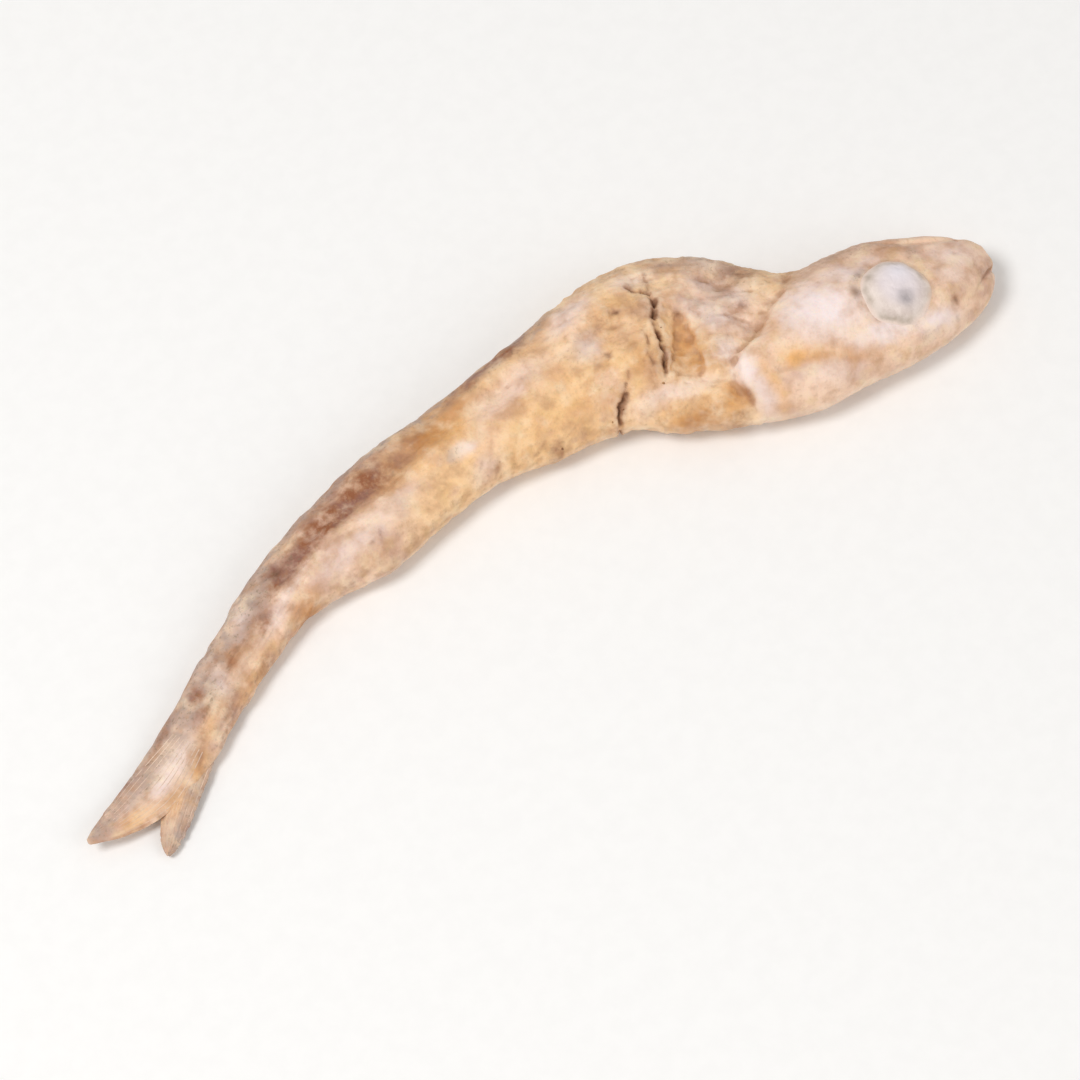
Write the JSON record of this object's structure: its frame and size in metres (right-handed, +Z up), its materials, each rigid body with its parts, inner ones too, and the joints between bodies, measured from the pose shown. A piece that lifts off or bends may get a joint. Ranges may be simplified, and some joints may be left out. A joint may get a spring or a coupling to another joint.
{
  "type": "dried fish",
  "caption": "Small whole dried fish lying on its side, with a bent head, cracked hump, torn belly flap and worn forked tail fin.",
  "frame": {"origin": "middle of the bounding box in plan, on the flat surface that the fish lies on", "axes": "+X from the tail towards the snout, +Y towards the fish's back, +Z up through the shown right flank"},
  "size_m": [0.1018, 0.027, 0.009],
  "materials": {
    "dried_skin": null
  },
  "bodies": {
    "root": {"dried_fish": "dried_skin"}
  },
  "joints": []
}
